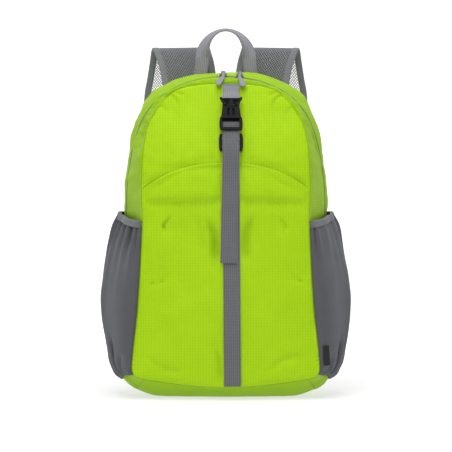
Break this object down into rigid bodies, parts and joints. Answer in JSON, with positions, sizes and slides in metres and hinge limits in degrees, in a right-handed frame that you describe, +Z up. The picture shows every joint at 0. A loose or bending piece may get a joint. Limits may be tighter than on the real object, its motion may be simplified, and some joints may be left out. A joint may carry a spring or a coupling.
{
  "type": "packable backpack",
  "caption": "Soft packable daypack: hollow ripstop bag with arched front pocket, stretch side pockets, centre buckle strap, carry handle and mesh shoulder straps.",
  "frame": {"origin": "on the floor, in the middle of the flat patch of cloth that the bag rests on", "axes": "+Z up, +X to the viewer's right when the front pocket is faced, front towards -Y, shoulder straps towards +Y"},
  "size_m": [0.367, 0.2074, 0.5412],
  "materials": {
    "ripstop": "lime green ripstop nylon with a fine square grid",
    "stretch_cloth": "dark grey stretch cloth with a soft sheen",
    "webbing": "grey ribbed webbing and binding",
    "strap_mesh": "light grey open spacer mesh",
    "plastic": "black moulded plastic, fine satin texture",
    "zip_metal": "plated zip slider",
    "pull_tab": "grey moulded pull tab",
    "tab_cloth": "bare black woven tab"
  },
  "bodies": {
    "bag": {"front_panel_lower": "ripstop", "front_panel_upper": "ripstop", "front_gusset": "ripstop", "rear_gusset": "ripstop", "main_zipper": "webbing", "bottom_panel": "ripstop", "back_panel": "ripstop", "pocket_left": "stretch_cloth", "pocket_binding_left": "stretch_cloth", "pocket_right": "stretch_cloth", "pocket_binding_right": "stretch_cloth", "front_strap": "webbing", "front_strap_upper": "webbing", "buckle_female": "plastic", "buckle_male": "plastic", "strap_glide": "plastic", "carry_handle": "webbing", "strap_mesh_left": "strap_mesh", "strap_edge_inner_left": "webbing", "strap_edge_outer_left": "webbing", "ladder_lock_left": "plastic", "strap_webbing_left": "webbing", "strap_anchor_left": "ripstop", "strap_mesh_right": "strap_mesh", "strap_edge_inner_right": "webbing", "strap_edge_outer_right": "webbing", "ladder_lock_right": "plastic", "strap_webbing_right": "webbing", "strap_anchor_right": "ripstop", "zip_slider_left": "zip_metal", "zip_slider_right": "zip_metal", "side_tab": "tab_cloth"},
    "pull_left": {"zip_puller_left": "pull_tab"},
    "pull_right": {"zip_puller_right": "pull_tab"}
  },
  "joints": [
    {"name": "pull_left_hinge", "type": "hinge", "parent": "bag", "child": "pull_left", "pos_m": [-0.00365, -0.04173, 0.46865], "axis": [-0.9997, 0.0009, -0.0254], "range_deg": [0, 170]},
    {"name": "pull_right_hinge", "type": "hinge", "parent": "bag", "child": "pull_right", "pos_m": [0.0204, -0.04167, 0.46742], "axis": [-0.9934, -0.0072, 0.1143], "range_deg": [0, 170]}
  ]
}
